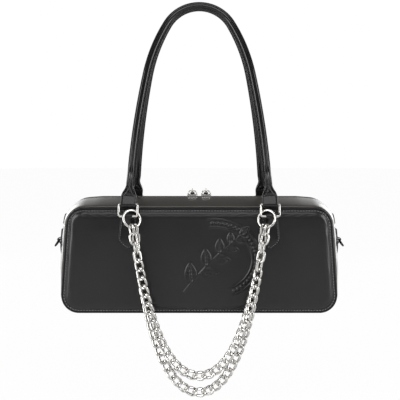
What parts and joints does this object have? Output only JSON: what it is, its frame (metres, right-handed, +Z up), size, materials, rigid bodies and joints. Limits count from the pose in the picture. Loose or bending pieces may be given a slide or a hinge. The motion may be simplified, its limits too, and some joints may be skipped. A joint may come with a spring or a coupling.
{
  "type": "handbag",
  "caption": "Structured black leather handbag with a crowned two-way zip top, tall rolled handles on rectangular rings and a silver chain draped across the front.",
  "frame": {"origin": "middle of the carry grip, between the crests of the two handles, from which the bag hangs", "axes": "+X to the right of the front panel, +Y from the front to the back, +Z up"},
  "size_m": [0.362, 0.1282, 0.4736],
  "materials": {
    "black_leather": "smooth semi-gloss calf leather, near black",
    "strip_leather": "smooth leather in warm grey light, near black",
    "piping_leather": "smooth black leather over a cord",
    "zip_tape": "woven black zip tape",
    "zip_teeth": "black moulded teeth",
    "silver": "polished silver-coloured metal",
    "dark_metal": "dark polished metal",
    "core": "soft cotton piping cord",
    "lining": "plain taupe cotton lining",
    "board": "stiff bag board"
  },
  "bodies": {
    "shell": {"front_panel": "black_leather", "back_panel": "black_leather", "front_piping": "piping_leather", "back_piping": "piping_leather", "lower_gusset": "strip_leather", "front_corner_strips": "strip_leather", "back_corner_strips": "strip_leather", "end_tapes": "zip_tape", "end_teeth": "zip_teeth", "zip_ends": "black_leather", "front_left_tab": "black_leather", "front_right_tab": "black_leather", "back_left_tab": "black_leather", "back_right_tab": "black_leather", "left_side_tab": "black_leather", "right_side_tab": "black_leather", "front_stiffener": "board", "back_stiffener": "board", "base_board": "board", "lining": "lining", "slip_pocket": "lining"},
    "top_front": {"front_zip_strip": "strip_leather", "front_zip_tape": "zip_tape", "front_teeth": "zip_teeth"},
    "top_back": {"back_zip_strip": "strip_leather", "back_zip_tape": "zip_tape", "back_teeth": "zip_teeth"},
    "slider_left": {"left_slider": "silver"},
    "slider_right": {"right_slider": "silver"},
    "puller_left": {"left_puller": "silver"},
    "puller_right": {"right_puller": "silver"},
    "front_rings": {"front_left_ring": "silver", "front_right_ring": "silver"},
    "back_rings": {"back_left_ring": "silver", "back_right_ring": "silver"},
    "front_handle": {"front_handle_cover": "black_leather", "front_handle_core": "core", "front_handle_flares": "black_leather", "front_handle_loops": "black_leather"},
    "back_handle": {"back_handle_cover": "black_leather", "back_handle_core": "core", "back_handle_flares": "black_leather", "back_handle_loops": "black_leather"},
    "round_ring_left": {"left_round_ring": "silver"},
    "round_ring_right": {"right_round_ring": "silver"},
    "chain": {"short_chain": "silver", "long_chain": "silver"},
    "side_ring_left": {"left_side_ring": "dark_metal"},
    "side_ring_right": {"right_side_ring": "dark_metal"}
  },
  "joints": [
    {"name": "front_strip_open", "type": "hinge", "parent": "shell", "child": "top_front", "pos_m": [0, -0.04228, -0.24382], "axis": [1, 0, 0], "range_deg": [0, 50]},
    {"name": "back_strip_open", "type": "hinge", "parent": "shell", "child": "top_back", "pos_m": [0, 0.04228, -0.24382], "axis": [-1, 0, 0], "range_deg": [0, 50]},
    {"name": "left_slider_run", "type": "slide", "parent": "top_front", "child": "slider_left", "axis": [-1, 0, 0], "range_m": [0, 0.101]},
    {"name": "right_slider_run", "type": "slide", "parent": "top_front", "child": "slider_right", "axis": [1, 0, 0], "range_m": [0, 0.101]},
    {"name": "left_puller_swing", "type": "hinge", "parent": "slider_left", "child": "puller_left", "pos_m": [-0.0085, 0, -0.22819], "axis": [1, 0, 0], "range_deg": [0, 90]},
    {"name": "right_puller_swing", "type": "hinge", "parent": "slider_right", "child": "puller_right", "pos_m": [0.0085, 0, -0.22819], "axis": [1, 0, 0], "range_deg": [0, 90]},
    {"name": "front_rings_tip", "type": "hinge", "parent": "shell", "child": "front_rings", "pos_m": [0, -0.0546, -0.25429], "axis": [1, 0, 0], "range_deg": [0, 20]},
    {"name": "back_rings_tip", "type": "hinge", "parent": "shell", "child": "back_rings", "pos_m": [0, 0.0546, -0.25429], "axis": [-1, 0, 0], "range_deg": [0, 20]},
    {"name": "front_handle_fold", "type": "hinge", "parent": "front_rings", "child": "front_handle", "pos_m": [0, -0.05285, -0.24], "axis": [1, 0, 0], "range_deg": [0, 75]},
    {"name": "back_handle_fold", "type": "hinge", "parent": "back_rings", "child": "back_handle", "pos_m": [0, 0.05285, -0.24], "axis": [-1, 0, 0], "range_deg": [0, 75]},
    {"name": "left_round_ring_spin", "type": "hinge", "parent": "shell", "child": "round_ring_left", "pos_m": [-0.07934, -0.05688, -0.25693], "axis": [0.447, -0.8131, 0.373], "continuous": true},
    {"name": "right_round_ring_spin", "type": "hinge", "parent": "shell", "child": "round_ring_right", "pos_m": [0.07934, -0.05688, -0.25693], "axis": [-0.447, -0.8131, 0.373], "continuous": true},
    {"name": "chain_swing", "type": "hinge", "parent": "shell", "child": "chain", "pos_m": [0, -0.05916, -0.26654], "axis": [-1, 0, 0], "range_deg": [0, 30]},
    {"name": "left_side_ring_swing", "type": "hinge", "parent": "shell", "child": "side_ring_left", "pos_m": [-0.17491, 0, -0.28955], "axis": [0, 1, 0], "range_deg": [0, 95]},
    {"name": "right_side_ring_swing", "type": "hinge", "parent": "shell", "child": "side_ring_right", "pos_m": [0.17491, 0, -0.28955], "axis": [0, -1, 0], "range_deg": [0, 95]}
  ],
  "couplings": [
    {"joint": "back_strip_open", "follows": "front_strip_open", "ratio": 1},
    {"joint": "left_slider_run", "follows": "front_strip_open", "m_per_rad": 0.11459},
    {"joint": "right_slider_run", "follows": "front_strip_open", "m_per_rad": 0.11459}
  ]
}
